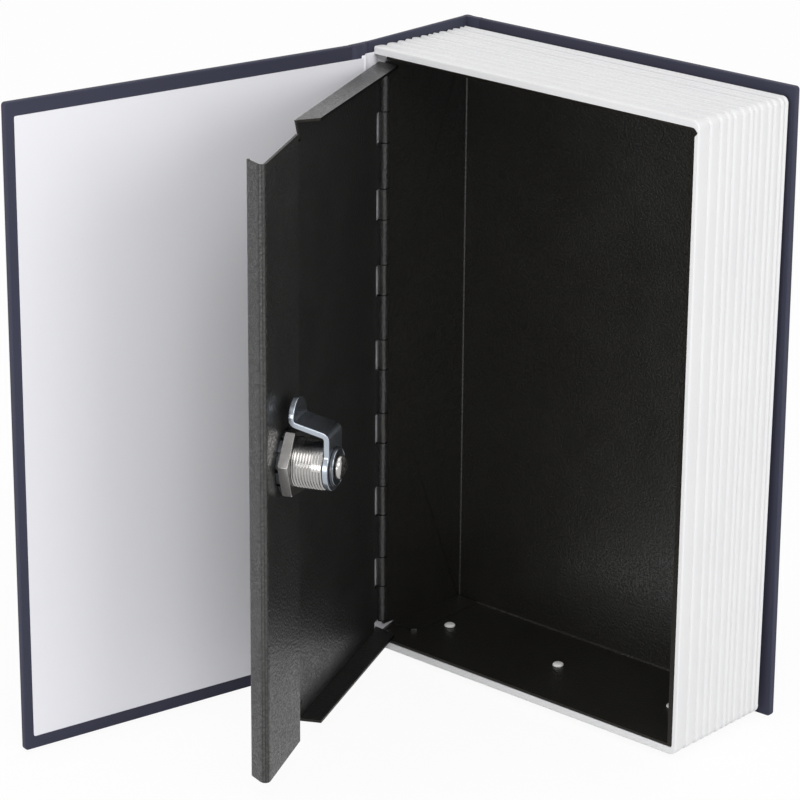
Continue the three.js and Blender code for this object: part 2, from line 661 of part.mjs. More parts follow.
function camScrew() {
  const half = [
    [0, -SCREW_LENGTH], [SCREW_RADIUS, -SCREW_LENGTH], [SCREW_RADIUS, 0], [SCREW_HEAD_RADIUS, 0],
    [SCREW_HEAD_RADIUS, SCREW_HEAD * 0.45], [SCREW_HEAD_RADIUS * 0.8, SCREW_HEAD * 0.85], [0, SCREW_HEAD],
  ].map(([r, h]) => new THREE.Vector2(r, h));
  const turned = new THREE.LatheGeometry(half, FINE_ROUND);
  turned.translate(0, screwFoot, 0);
  return solidOf(turned);
}

// Finishes
const finishes = {
  cloth: { color: 0x3e4050, roughness: 0.85, metalness: 0.0 },
  board: { color: 0x9a958c, roughness: 0.95, metalness: 0.0 },
  paper: { color: 0xe4e4e9, roughness: 0.75, metalness: 0.0 },
  pages: { color: 0xececee, roughness: 0.45, metalness: 0.0 },
  blackSteel: { color: 0x1c1c1b, roughness: 0.4, metalness: 0.2 },
  rivet: { color: 0xf0f0ee, roughness: 0.5, metalness: 0.0 },
  pin: { color: 0x3a3a3a, roughness: 0.4, metalness: 0.8 },
  nickel: { color: 0xc2c0ba, roughness: 0.28, metalness: 1.0 },
  zinc: { color: 0xb4bcc4, roughness: 0.25, metalness: 1.0 },
  brass: { color: 0xb89a5a, roughness: 0.35, metalness: 1.0 },
};

function piece(parent, name, solid, finish) {
  const mesh = new THREE.Mesh(geometryOf(solid), new THREE.MeshStandardMaterial(finishes[finish]));
  mesh.name = name;
  parent.add(mesh);
}

// Assembly
const safe = new THREE.Group();
const backCover = new THREE.Group();
const frontCover = new THREE.Group();
const door = new THREE.Group();
const lock = new THREE.Group();

// the origin is the middle of the back board's lower edge
safe.position.set(-(coverHingeX + (coverStart + GROOVE + coverEnd) / 2), -(backOuter - coverPack / 2), 0);
frontCover.position.set(coverHingeX, coverHingeY, 0);
frontCover.rotation.z = -THREE.MathUtils.degToRad(COVER_OPEN);
backCover.position.set(coverHingeX, backOuter, boardHeight);
backCover.rotation.x = Math.PI;
door.position.set(hingeX, hingeY, 0);
door.rotation.z = -THREE.MathUtils.degToRad(DOOR_OPEN);
lock.position.set(lockX, 0, lockZ);

piece(frontCover, 'front_cloth', boardCloth(coverStart, coverEnd, -HINGE_INSET), 'cloth');
piece(frontCover, 'front_board', boardCore(coverStart, coverEnd, -HINGE_INSET), 'board');
piece(frontCover, 'front_lining', boardPaper(coverStart, coverEnd, -HINGE_INSET), 'paper');
piece(backCover, 'back_cloth', boardCloth(coverStart, coverEnd, 0), 'cloth');
piece(backCover, 'back_board', boardCore(coverStart, coverEnd, 0), 'board');
piece(backCover, 'back_lining', boardPaper(coverStart, coverEnd, 0), 'paper');
piece(safe, 'spine_cloth', spineCloth(), 'cloth');
piece(safe, 'spine_board', spineBoard(), 'board');
piece(safe, 'spine_lining', spinePaper(), 'paper');
piece(safe, 'page_block', pageBlock(), 'pages');
piece(safe, 'steel_box', steelBox(), 'blackSteel');
piece(safe, 'hinge_pin', hingePin(), 'pin');
rivetPlaces().forEach((x, i) => {
  piece(safe, `floor_rivet_${i + 1}`, rivet(x, innerFoot, 1), 'rivet');
  piece(safe, `ceiling_rivet_${i + 1}`, rivet(x, innerHead, -1), 'rivet');
});
piece(door, 'door_panel', doorPanel(), 'blackSteel');
piece(lock, 'lock_housing', lockHousing(), 'nickel');
piece(lock, 'lock_nut', lockNut(), 'nickel');
piece(lock, 'lock_plug', lockPlug(), 'nickel');
for (let i = 0; i < WAFER_COUNT; i++) {
  piece(lock, `wafer_${i + 1}`, wafer(i), 'brass');
}
piece(lock, 'cam', camPlate(), 'zinc');
piece(lock, 'cam_washer', camWasher(), 'zinc');
piece(lock, 'cam_screw', camScrew(), 'nickel');

door.add(lock);
safe.add(frontCover, backCover, door);

export default safe;
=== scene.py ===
"""Looks of the book safe: cloth-covered boards, ribbed page block, enamelled steel box and door, cam lock."""
import json
import math

import bmesh
import bpy
from mathutils import Matrix, Vector

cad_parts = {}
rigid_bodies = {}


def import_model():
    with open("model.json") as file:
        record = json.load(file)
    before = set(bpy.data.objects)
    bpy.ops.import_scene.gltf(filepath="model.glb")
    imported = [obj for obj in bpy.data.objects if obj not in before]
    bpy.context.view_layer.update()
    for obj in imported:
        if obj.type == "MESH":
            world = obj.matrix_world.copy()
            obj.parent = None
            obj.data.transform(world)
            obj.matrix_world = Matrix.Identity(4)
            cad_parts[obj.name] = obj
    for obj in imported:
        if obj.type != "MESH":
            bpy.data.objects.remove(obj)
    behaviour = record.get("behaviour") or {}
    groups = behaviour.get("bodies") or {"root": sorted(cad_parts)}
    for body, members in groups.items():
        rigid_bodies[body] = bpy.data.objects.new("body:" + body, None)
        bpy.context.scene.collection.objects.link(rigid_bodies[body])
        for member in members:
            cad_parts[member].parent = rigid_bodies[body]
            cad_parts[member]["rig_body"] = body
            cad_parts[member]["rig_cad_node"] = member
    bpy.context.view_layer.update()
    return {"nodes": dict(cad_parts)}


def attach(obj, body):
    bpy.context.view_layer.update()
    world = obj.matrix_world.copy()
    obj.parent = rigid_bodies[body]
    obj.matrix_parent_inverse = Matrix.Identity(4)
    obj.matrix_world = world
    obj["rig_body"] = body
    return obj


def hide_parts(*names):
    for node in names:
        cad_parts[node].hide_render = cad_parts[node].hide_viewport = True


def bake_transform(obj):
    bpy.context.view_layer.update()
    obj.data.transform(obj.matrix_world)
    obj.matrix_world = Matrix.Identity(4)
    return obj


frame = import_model()

MM = 0.001
SHIFT = (-76.975, -52.6)  # from the book's own frame to the shared one

# Sizes are in millimetres in the book's frame: x from the spine's end of the pages, y from their front and
# z from the foot of the boards.
BOARD_HEIGHT = 240.0
MIDDLE = 120.5
CLOTH = 0.35
PAPER = 0.3
SHEET = 1.0

# covers: each board in its cloth, measured from the outer face, and the front cover's hinge and opening
BOARD_PACK = 2.6
COVER_BOARD = 1.7
BOARD_SHELL = 0.45
COVER_PACK = 3.0
COVER_OUTER = -0.25
COVER_START = 1.65
COVER_GROOVE = 5.0
COVER_END = 150.1
COVER_CORNER, BOARD_CORNER = 1.3, 1.35
COVER_HINGE = (-1.4, -3.95)
COVER_OPEN = 102.03
TURN_IN = 11.0
PAPER_ENDS, FRONT_PAPER_ENDS = 4.0, 5.0
FRONT_BORDER, BACK_BORDER = 3.5, 7.0
FRONT_SKEW, FRONT_SKEW_HEAD = 0.8, 0.25
BACK_OUTER = 54.1
BACK_WARP_HEAD, BACK_WARP_FOOT = 1.0, 3.4
BACK_WARP_START, BACK_WARP_POWER, WARP_CUTS = 5.0, 1.4, 10
SPINE_OUTER = -2.35
SPINE_INNER = -0.45

# page block: the corners and walls of the sweep from the head past the fore-edge to the foot
PAGE_RIGHT = 147.0
PAGE_DEPTH = 51.0
PAGE_HEAD, PAGE_FORE, PAGE_FOOT = 235.4, 145.2, 5.6
PAGE_CORNER, CORNER_STEPS = 1.0, 12
HEAD_WALL, FORE_WALL, FOOT_WALL = 2.8, 1.8, 3.0
HEAD_FALL = 1.6
HEAD_LEAN, FOOT_LEAN = 0.01, 0.03
RIB_WIDTHS = [6.6, 5.7, 4.3, 3.5, 4.9, 4.1, 2.7, 3.4, 4.6, 3.0, 4.1, 2.4, 1.7]
RIB_DEPTH = 0.8
RIB_RISE = 1.05
FORE_RIB_LOSS = 0.25
THINNEST_SHARE = 0.4

# steel box and door
BOX_FRONT, BOX_BACK = 0.2, 50.9
BOX_FOOT, BOX_HEAD = 5.8, 235.2
RIVET_FIRST, RIVET_SPACING = 17.6, 54.0
DOOR_HINGE = (2.45, 2.95)
DOOR_OPEN = 67.05
DOOR_OUTER = -2.05
DOOR_INNER = 6.15
DOOR_FOOT, DOOR_HEAD = 8.6, 232.4
FLANGE_LENGTH = 88.0
LIP_EDGE = 102.6

# cam lock, along its own axis
LOCK_X = 118.3
LOCK_Z = 121.6
LOCK_END = 21.65
LOCK_FACE = DOOR_OUTER - 0.1
SCREW_SEAT = LOCK_END + 3.35
THREAD_RADIUS, THREAD_PITCH, THREAD_DEPTH = 8.75, 1.05, 0.4
LOCK_FLAT = 8.6
PLUG_BORE = 6.0
NUT_ACROSS, NUT_TURN = 22.3, -9
WASHER_TEETH = 12

# finishes and light
SMOOTH = 35
THREAD_SPACING = 0.62
WORLD_LIGHT = 0.6
FLOOR_GLOW, FLOOR_MIRROR = 0.93, 0.5
CAMERA_PLACE = (820.01, -906.46, 549.18)
CAMERA_RIGHT = (0.749469, 0.661972, 0.009423)
CAMERA_UP = (-0.235679, 0.253475, 0.938193)
CAMERA_AHEAD = (-0.618669, 0.705368, -0.345985)
FOCAL_PIXELS = 3475.5
CENTRE_PIXELS = (422.615, 409.718)
PICTURE = 800
SENSOR = 36


def mm(x, y, z=0.0):
    return Vector((x * MM, y * MM, z * MM))


def row_x(value):
    return value + SHIFT[0]


def row_y(value):
    return value + SHIFT[1]


BOOK = Matrix.Translation(mm(*SHIFT))


def swung(hinge, degrees):
    return BOOK @ Matrix.Translation(mm(*hinge)) @ Matrix.Rotation(-math.radians(degrees), 4, "Z")


COVER = swung(COVER_HINGE, COVER_OPEN)
DOOR = swung(DOOR_HINGE, DOOR_OPEN)
BACK_CORNER = BOOK @ Matrix.Translation(mm(COVER_HINGE[0], BACK_OUTER, BOARD_HEIGHT))
BACK = BACK_CORNER @ Matrix.Rotation(math.pi, 4, "X")
LOCK = DOOR @ Matrix.Translation(mm(LOCK_X, 0, LOCK_Z))
ALONG_Y = Matrix.Rotation(-math.pi / 2, 4, "X")  # turns what stands along Z to lie along Y


# modelling helpers
def deselect():
    for obj in list(bpy.context.selected_objects):
        obj.select_set(False)


def activate(obj):
    deselect()
    obj.select_set(True)
    bpy.context.view_layer.objects.active = obj


def named(name):
    obj = bpy.context.object
    obj.name = name
    obj.data.name = name
    bpy.ops.object.transform_apply(location=True, rotation=True, scale=True)
    return obj


def moved(obj, place):
    """Puts an object in a place, which its mesh takes up."""
    obj.matrix_world = place
    activate(obj)
    bpy.ops.object.transform_apply(location=True, rotation=True, scale=True)
    return obj


def box(name, low, high):
    """A block between two corners in millimetres."""
    deselect()
    low, high = mm(*low), mm(*high)
    bpy.ops.mesh.primitive_cube_add(size=1, location=(low + high) / 2, scale=high - low)
    return named(name)


def rod(name, radius, start, end, sides):
    """A round bar along the Y axis, from start to end."""
    deselect()
    bpy.ops.mesh.primitive_cylinder_add(
        vertices=sides, radius=radius * MM, depth=(end - start) * MM,
        location=mm(0, (start + end) / 2), rotation=(math.pi / 2, 0, 0))
    return named(name)


class Editing:
    """Edit mode on one object. bevel rounds the edges that a test picks."""

    def __init__(self, obj):
        self.obj = obj

    def __enter__(self):
        activate(self.obj)
        bpy.ops.object.mode_set(mode="EDIT")
        bpy.ops.mesh.select_mode(type="VERT")
        bpy.ops.mesh.select_all(action="DESELECT")
        return self

    def __exit__(self, *_):
        bpy.ops.object.mode_set(mode="OBJECT")

    def bevel(self, test, width, segments):
        bpy.ops.mesh.select_mode(type="EDGE")
        bpy.ops.mesh.select_all(action="DESELECT")
        mesh = bmesh.from_edit_mesh(self.obj.data)
        for edge in mesh.edges:
            if test(edge):
                edge.select_set(True)
        bmesh.update_edit_mesh(self.obj.data)
        bpy.ops.mesh.bevel(offset=width * MM, segments=segments, affect="EDGES", clamp_overlap=True)


def modify(obj, kind, **settings):
    activate(obj)
    modifier = obj.modifiers.new(kind.title(), kind)
    for key, value in settings.items():
        setattr(modifier, key, value)
    bpy.ops.object.modifier_apply(modifier=modifier.name)
    return obj


def cut(obj, *tools, operation="DIFFERENCE"):
    for tool in tools:
        modify(obj, "BOOLEAN", operation=operation, solver="EXACT", object=tool)
        bpy.data.objects.remove(tool)
    return obj


def soften(obj, width, segments=2, angle=30):
    modify(obj, "BEVEL", width=width * MM, segments=segments, limit_method="ANGLE",
           angle_limit=math.radians(angle), use_clamp_overlap=True)
    return obj


def prism(name, outline, low, high):
    """A flat outline in X and Y, in millimetres, raised from low to high along Z."""
    deselect()
    bpy.ops.mesh.primitive_circle_add(vertices=len(outline), radius=MM, fill_type="NGON")
    obj = named(name)
    for vertex, (x, y) in zip(obj.data.vertices, outline):
        vertex.co = mm(x, y, low)
    with Editing(obj):
        bpy.ops.mesh.select_all(action="SELECT")
        bpy.ops.mesh.extrude_region_move(TRANSFORM_OT_translate={"value": (0, 0, (high - low) * MM)})
        bpy.ops.mesh.select_all(action="SELECT")
        bpy.ops.mesh.normals_make_consistent(inside=False)
    return obj


def grid(name, rows, columns, place):
    """A sheet of rows x columns points, each put where place(row, column) says, in millimetres."""
    deselect()
    bpy.ops.mesh.primitive_grid_add(x_subdivisions=columns - 1, y_subdivisions=rows - 1, size=1)
    obj = named(name)
    for index, vertex in enumerate(obj.data.vertices):
        vertex.co = mm(*place(index // columns, index % columns))
    return obj


def close_up(obj):
    """Merges the seams, fills the open ends and turns the faces outwards."""
    with Editing(obj):
        bpy.ops.mesh.select_all(action="SELECT")
        bpy.ops.mesh.remove_doubles(threshold=1e-6)
        bpy.ops.mesh.select_all(action="DESELECT")
        bpy.ops.mesh.select_mode(type="EDGE")
        bpy.ops.mesh.select_non_manifold(extend=False, use_wire=False, use_multi_face=False,
                                         use_non_contiguous=False, use_verts=False)
        bpy.ops.mesh.fill_holes(sides=0)
        bpy.ops.mesh.select_all(action="SELECT")
        bpy.ops.mesh.normals_make_consistent(inside=False)
    return obj


def turned(name, half, sides):
    """A profile of (radius, height along Y) points spun about the Y axis."""
    def place(row, column):
        radius, height = half[column]
        angle = 2 * math.pi * row / sides
        return radius * math.cos(angle), height, radius * math.sin(angle)

    return close_up(grid(name, sides + 1, len(half), place))


def copied(node, name):
    """A merged copy of a CAD node, in place, ready for finer edges."""
    activate(frame["nodes"][node])
    bpy.ops.object.duplicate()
    obj = bpy.context.object
    obj.name = name
    obj.data.name = name
    bpy.ops.object.parent_clear(type="CLEAR_KEEP_TRANSFORM")
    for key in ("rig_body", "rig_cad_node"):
        if key in obj:
            del obj[key]
    obj.data.materials.clear()
    bpy.ops.mesh.customdata_custom_splitnormals_clear()
    with Editing(obj):
        bpy.ops.mesh.select_all(action="SELECT")
        bpy.ops.mesh.remove_doubles(threshold=1e-6)
        bpy.ops.mesh.select_all(action="SELECT")
        bpy.ops.mesh.dissolve_limited(angle_limit=math.radians(0.5))
    return obj


def lay_out(obj):
    """A UV map in millimetres, projected along whichever local axis a face looks."""
    layer = obj.data.uv_layers.new(name="UVMap")
    for face in obj.data.polygons:
        normal = [abs(value) for value in face.normal]
        flat = normal.index(max(normal))
        across, along = [(1, 2), (0, 2), (0, 1)][flat]
        for loop in face.loop_indices:
            point = obj.data.vertices[obj.data.loops[loop].vertex_index].co
            layer.data[loop].uv = (point[across] / MM, point[along] / MM)


def shade(obj, smooth, rigid=True):
    """Smooth shading up to an angle; on a rigid piece the large faces stay flat."""
    activate(obj)
    bpy.ops.mesh.customdata_custom_splitnormals_clear()
    bpy.ops.object.shade_smooth_by_angle(angle=math.radians(smooth))
    if rigid:
        modify(obj, "WEIGHTED_NORMAL", mode="FACE_AREA", weight=50, keep_sharp=True)


def settle(obj, place, body, finish, nodes=(), smooth=SMOOTH):
    """Puts a finished piece in place on its body, with its material. A piece without a body is left
    unattached, and its large faces are not kept flat.
    """
    if not obj.data.uv_layers:
        lay_out(obj)
    if place is not None:
        moved(obj, place)
    shade(obj, smooth, body)
    obj.data.materials.clear()
    obj.data.materials.append(finish.material)
    if nodes:
        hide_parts(*nodes)
    if body:
        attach(obj, body)
    return obj


# finishes
class Wire:
    """A shader value; arithmetic on it adds Math nodes."""

    def __init__(self, finish, socket):
        self.finish = finish
        self.socket = socket

    def join(self, operation, first, second):
        return self.finish.add("ShaderNodeMath", {"operation": operation}, {0: first, 1: second})

    def __add__(self, other):
        return self.join("ADD", self, other)

    def __sub__(self, other):
        return self.join("SUBTRACT", self, other)

    def __rsub__(self, other):
        return self.join("SUBTRACT", other, self)

    def __mul__(self, other):
        return self.join("MULTIPLY", self, other)

    __radd__ = __add__
    __rmul__ = __mul__

    def sine(self):
        return self.finish.add("ShaderNodeMath", {"operation": "SINE"}, {0: self})

    def clamp(self):
        return self.finish.add("ShaderNodeClamp", {}, {0: self})


def linear(colour):
    """Linear light from a screen colour of 0 to 255."""
    values = [value / 255 for value in colour]
    return [value / 12.92 if value <= 0.04045 else ((value + 0.055) / 1.055) ** 2.4
            for value in values] + [1.0]


class Finish:
    """A Principled material built up from procedural nodes."""

    def __init__(self, name, colour, roughness, metallic=0.0, **fixed):
        self.material = bpy.data.materials.new(name)
        self.material.use_nodes = True
        self.tree = self.material.node_tree
        self.shader = self.tree.nodes["Principled BSDF"]
        self.colour = linear(colour)
        self.set("Base Color", self.colour)
        self.set("Roughness", roughness)
        self.set("Metallic", metallic)
        for key, value in fixed.items():
            self.set(key.replace("_", " ").title().replace("Ior", "IOR"), value)

    def set(self, name, value):
        socket = self.shader.inputs[name]
        if isinstance(value, Wire):
            self.tree.links.new(value.socket, socket)
        else:
            socket.default_value = value

    def node(self, kind, settings=None, inputs=None):
        """A node with its settings, such as a ramp's two stops, and the values or links of its sockets."""
        node = self.tree.nodes.new(kind)
        for key, value in (settings or {}).items():
            if key == "stops":
                for element, (place, grey) in zip(node.color_ramp.elements, value):
                    element.position = place
                    element.color = (grey, grey, grey, 1)
            else:
                setattr(node, key, value)
        for key, value in (inputs or {}).items():
            if isinstance(value, Wire):
                self.tree.links.new(value.socket, node.inputs[key])
            else:
                node.inputs[key].default_value = value
        return node

    def add(self, kind, settings=None, inputs=None, output=0):
        return Wire(self, self.node(kind, settings, inputs).outputs[output])

    def place(self, kind="Object"):
        return self.add("ShaderNodeTexCoord", {}, {}, kind)

    def parts(self, place):
        return [Wire(self, socket) for socket in self.node("ShaderNodeSeparateXYZ", {}, {0: place}).outputs]

    def noise(self, place, scale, detail=2.0, roughness=0.5):
        return self.add("ShaderNodeTexNoise", {}, {
            "Vector": place, "Scale": scale, "Detail": detail, "Roughness": roughness})

    def stretched(self, place, scale):
        return self.add("ShaderNodeMapping", {}, {"Vector": place, "Scale": scale})

    def ramp(self, value, stops):
        return self.add("ShaderNodeValToRGB", {"stops": stops}, {0: value})

    def mix(self, amount, first, second):
        return self.add("ShaderNodeMix", {"data_type": "RGBA"}, {0: amount, 6: first, 7: second}, 2)

    def bump(self, height, strength, distance, under=None):
        inputs = {"Height": height, "Strength": strength, "Distance": distance}
        if under:
            inputs["Normal"] = under
        return self.add("ShaderNodeBump", {}, inputs)


def cloth_finish():
    """Navy book cloth: an over-and-under weave of fine threads, a little worn and dusty."""
    made = Finish("navy_book_cloth", (48, 50, 66), 0.8, specular_ior_level=0.3, sheen_weight=0.1,
                  sheen_roughness=0.4)
    place = made.place("UV")
    u, v, _ = made.parts(place)
    thread = 2 * math.pi / THREAD_SPACING
    warp = (u * thread).sine()
    weft = (v * thread).sine()
    weave = warp * weft * 0.5 + 0.5
    slub = made.noise(made.stretched(place, (0.12, 1.3, 1.0)), 1.0, 3.0)
    slub_across = made.noise(made.stretched(place, (1.3, 0.12, 1.0)), 1.0, 3.0)
    nap = made.noise(place, 0.9, 3.0, 0.7)
    cloud = made.noise(place, 0.04, 4.0)
    uneven = slub * 1.1 + slub_across * 1.1 + nap * 1.5 + cloud * 0.9
    tone = (weave * 0.3 + uneven - 1.75).clamp()
    made.set("Base Color", made.mix(tone, linear((36, 37, 49)), linear((65, 66, 85))))
    made.set("Roughness", 0.72 + slub * 0.16)
    height = weave * 0.7 + slub * 0.4 + slub_across * 0.4 + nap * 0.4
    made.set("Normal", made.bump(height, 0.7, 0.00015))
    return made


def paper_finish():
    """White endpaper pasted over board: fine tooth, faint mottling and glue ripples."""
    made = Finish("white_endpaper", (238, 238, 243), 0.7, specular_ior_level=0.35)
    place = made.place("UV")
    tooth = made.noise(place, 2.2, 4.0)
    cloud = made.noise(place, 0.03, 3.0)
    fibre = made.noise(made.stretched(place, (0.15, 0.6, 1.0)), 1.0, 4.0)
    tone = (tooth * 0.25 + cloud * 0.5 + fibre * 0.3).clamp()
    made.set("Base Color", made.mix(tone, linear((231, 231, 237)), linear((244, 244, 248))))
    made.set("Roughness", 0.62 + tooth * 0.2)
    made.set("Normal", made.bump(tooth + fibre * 0.5, 0.12, 0.0001, made.bump(cloud, 0.25, 0.0012)))
    return made


def page_finish():
    """White moulded plastic with a soft sheen and a fine satin grain."""
    made = Finish("white_moulded_pages", (229, 229, 230), 0.42, specular_ior_level=0.4)
    place = made.place()
    grain = made.noise(place, 900.0, 2.0)
    cloud = made.noise(place, 30.0, 3.0)
    tone = (cloud * 0.8 + grain * 0.2).clamp()
    made.set("Base Color", made.mix(tone, linear((224, 224, 226)), linear((233, 233, 233))))
    made.set("Roughness", 0.36 + cloud * 0.15)
    made.set("Normal", made.bump(grain, 0.05, 0.0002))
    return made


def steel_finish(name, colour, rough, peel, sheared):
    """Black baked enamel over sheet steel: hammered grain under thin, patchy gloss, with dull dust.
    Sheared edges stay bare and dark. sheared says where they are."""
    made = Finish(name, colour, rough, specular_ior_level=0.72, coat_roughness=0.2)
    place = made.place()
    grain = made.noise(place, 1050.0, 1.0)
    fine = made.noise(place, 3200.0, 2.0)
    dust = made.noise(place, 45.0, 5.0, 0.65)
    speck = made.ramp(grain, ((0.44, 0.0), (0.57, 1.0)))
    darker = [value * 0.6 for value in made.colour[:3]] + [1.0]
    lighter = [value * 1.6 + 0.001 for value in made.colour[:3]] + [1.0]
    edge = sheared(made, place)
    enamel = made.mix((dust * 0.5 + speck * 0.5).clamp(), darker, lighter)
    made.set("Base Color", made.mix(edge, enamel, linear((52, 50, 47))))
    made.set("Metallic", edge)
    made.set("Coat Weight", (0.03 + speck * 0.42) * (1 - edge))
    made.set("Roughness", rough - 0.1 + dust * 0.2)
    made.set("Normal", made.bump(grain + fine * 0.3, peel, 0.00034))
    return made


def front_edges(made, place):
    """The box's sheet ends just behind the front plane."""
    return (((BOX_FRONT + 0.45 + SHIFT[1]) * MM - made.parts(place)[1]) * 8000.0).clamp()


def marked_edges(made, _):
    """The faces that mark_sheared marked."""
    return made.add("ShaderNodeAttribute", {"attribute_name": "sheared"}, {}, "Fac")


def metal_finish(name, colour, rough, brush):
    """Plated metal with fine working marks and slightly clouded plating."""
    made = Finish(name, colour, rough, 1.0)
    place = made.place()
    marks = made.noise(made.stretched(place, brush), 1.0, 3.0)
    cloud = made.noise(place, 160.0, 4.0)
    duller = [value * 0.78 for value in made.colour[:3]] + [1.0]
    made.set("Base Color", made.mix((cloud * 0.8 + marks * 0.2).clamp(), duller, made.colour))
    made.set("Roughness", rough - 0.05 + cloud * 0.14)
    made.set("Normal", made.bump(marks, 0.06, 0.0001))
    return made


def board_finish():
    """Grey pasteboard with layers along its edge."""
    made = Finish("grey_pasteboard", (150, 145, 136), 0.9)
    place = made.place("UV")
    layers = made.noise(made.stretched(place, (0.3, 0.3, 1.0)), 6.0, 3.0)
    made.set("Base Color", made.mix(layers, linear((132, 127, 118)), linear((168, 163, 153))))
    made.set("Normal", made.bump(layers, 0.3, 0.0002))
    return made


def rivet_finish():
    """White plastic with a faint grain."""
    made = Finish("white_rivet_plastic", (242, 242, 240), 0.45)
    place = made.place()
    grain = made.noise(place, 1200.0, 2.0)
    made.set("Base Color", made.mix(grain, linear((234, 234, 231)), linear((247, 247, 245))))
    made.set("Normal", made.bump(grain, 0.1, 0.0001))
    return made


cloth = cloth_finish()
paper = paper_finish()
pages = page_finish()
box_steel = steel_finish("black_box_enamel", (22, 21, 18), 0.4, 0.5, front_edges)
door_steel = steel_finish("black_door_enamel", (25, 25, 24), 0.38, 0.8, marked_edges)
nickel = metal_finish("nickel_plate", (188, 186, 184), 0.2, (300.0, 300.0, 1500.0))
zinc = metal_finish("bright_zinc_plate", (180, 188, 198), 0.22, (400.0, 400.0, 400.0))
dark_zinc = metal_finish("dark_spring_steel", (96, 98, 102), 0.34, (900.0, 900.0, 900.0))
brass = metal_finish("wafer_brass", (190, 160, 96), 0.35, (900.0, 900.0, 900.0))
pin_steel = metal_finish("hinge_pin_steel", (70, 70, 70), 0.38, (200.0, 200.0, 2500.0))
board = board_finish()
rivets = rivet_finish()


# book case
def runs_along(edge, axis):
    return abs(edge.verts[0].co[axis] - edge.verts[1].co[axis]) > 1e-4


def rounded(name, low, high, axis, corner):
    """A block whose two far corners are rounded, seen along the given axis."""
    obj = box(name, low, high)
    length = 1 - axis
    far = high[length] * MM
    if corner:
        with Editing(obj) as edit:
            edit.bevel(lambda e: all(abs(v.co[length] - far) < 1e-5 for v in e.verts) and runs_along(e, axis),
                       corner, 6)
    return obj


def covered_board(name, low, high, axis, mouth, corner, edge):
    """Cloth wrapped over a board and turned in round a mouth on its inner face, which looks along the axis.
    mouth is how far in the mouth starts at the near end, the far end, and the head and foot."""
    obj = rounded(name, low, high, axis, corner)
    with Editing(obj) as edit:
        edit.bevel(lambda e: e.calc_face_angle(0) > 0.6, edge, 3)
    shell = Vector((CLOTH, CLOTH, CLOTH))
    pocket = rounded("pocket", Vector(low) + shell, Vector(high) - shell, axis, max(corner - CLOTH, 0))
    near, far, ends = mouth
    start, end = list(low), list(high)
    start[axis] = high[axis] - 2 * CLOTH
    end[axis] = high[axis] + 1
    start[1 - axis] += near
    end[1 - axis] -= far
    start[2] += ends
    end[2] -= ends
    return cut(obj, pocket, box("mouth", start, end))


def cover_cloth(name, outer, place, body, node):
    low = (COVER_START + COVER_GROOVE, outer, 0)
    high = (COVER_END, outer + BOARD_PACK, BOARD_HEIGHT)
    obj = covered_board(name, low, high, 1, (1.0, TURN_IN, TURN_IN), COVER_CORNER, 0.5)
    return settle(obj, place, body, cloth, [node])


def cover_board(name, outer, place, body, node):
    low = (COVER_START + COVER_GROOVE + BOARD_SHELL, outer + BOARD_SHELL, BOARD_SHELL)
    high = (COVER_END - BOARD_SHELL, outer + BOARD_SHELL + COVER_BOARD, BOARD_HEIGHT - BOARD_SHELL)
    obj = soften(rounded(name, low, high, 1, BOARD_CORNER), 0.1, 1)
    return settle(obj, place, body, board, [node])


def cover_paper(name, outer, place, body, node, start, border, ends):
    """Endpaper on the inside of a board, rounded at its cut corners and pressed thin at its edges.
    border is how much cloth it leaves at the free edge, and ends how much at the head and foot."""
    top = outer + COVER_PACK
    obj = box(name, (start, top - PAPER, ends), (COVER_END - border, top, BOARD_HEIGHT - ends))
    with Editing(obj) as edit:
        edit.bevel(lambda e: all(v.co.x > 0.1 for v in e.verts) and runs_along(e, 1), 0.6, 3)
        edit.bevel(lambda e: all(v.co.y > (top - 0.01) * MM for v in e.verts), 0.12, 2)
    return settle(obj, place, body, paper, [node])


def warp_back(piece):
    """The back cover has warped: its free edge leans away from the pages, most of all at the foot."""
    with Editing(piece):
        for step in range(1, WARP_CUTS):
            x, z = row_x(COVER_END * step / WARP_CUTS) * MM, BOARD_HEIGHT * step / WARP_CUTS * MM
            for spot, normal in (((x, 0, 0), (1, 0, 0)), ((0, 0, z), (0, 0, 1))):
                bpy.ops.mesh.select_all(action="SELECT")
                bpy.ops.mesh.bisect(plane_co=spot, plane_no=normal)
    for vertex in piece.data.vertices:
        along = max((vertex.co.x / MM - row_x(BACK_WARP_START)) / (COVER_END - BACK_WARP_START), 0)
        down = 1 - vertex.co.z / (BOARD_HEIGHT * MM)
        warp = BACK_WARP_HEAD + (BACK_WARP_FOOT - BACK_WARP_HEAD) * down
        vertex.co.y += warp * along ** BACK_WARP_POWER * MM
    shade(piece, SMOOTH)


def skew_front(piece):
    """The front board was cut a little out of square, taller at its free edge."""
    for vertex in piece.data.vertices:
        u = (COVER.inverted() @ vertex.co).x / MM / COVER_END
        vertex.co.z += max(u, 0) * (FRONT_SKEW + FRONT_SKEW_HEAD * vertex.co.z / (BOARD_HEIGHT * MM)) * MM
    shade(piece, SMOOTH)


skew_front(cover_cloth("front_cover_cloth", COVER_OUTER, COVER, "front_cover", "front_cloth"))
skew_front(cover_board("front_pasteboard", COVER_OUTER, COVER, "front_cover", "front_board"))
skew_front(cover_paper("front_endpaper", COVER_OUTER, COVER, "front_cover", "front_lining",
                       COVER_START + 0.25, FRONT_BORDER, FRONT_PAPER_ENDS))
warp_back(cover_cloth("back_cover_cloth", 0.0, BACK, "case", "back_cloth"))
warp_back(cover_board("back_pasteboard", 0.0, BACK, "case", "back_board"))
warp_back(cover_paper("back_endpaper", 0.0, BACK, "case", "back_lining",
                      COVER_START, BACK_BORDER, PAPER_ENDS))

spine = covered_board("spine_cloth_cover", (SPINE_OUTER, -2.7, 0), (SPINE_INNER, 52.2, BOARD_HEIGHT),
                      0, (3.7, 1.2, 9.0), 0, 0.4)
settle(spine, BOOK, "case", cloth, ["spine_cloth"])


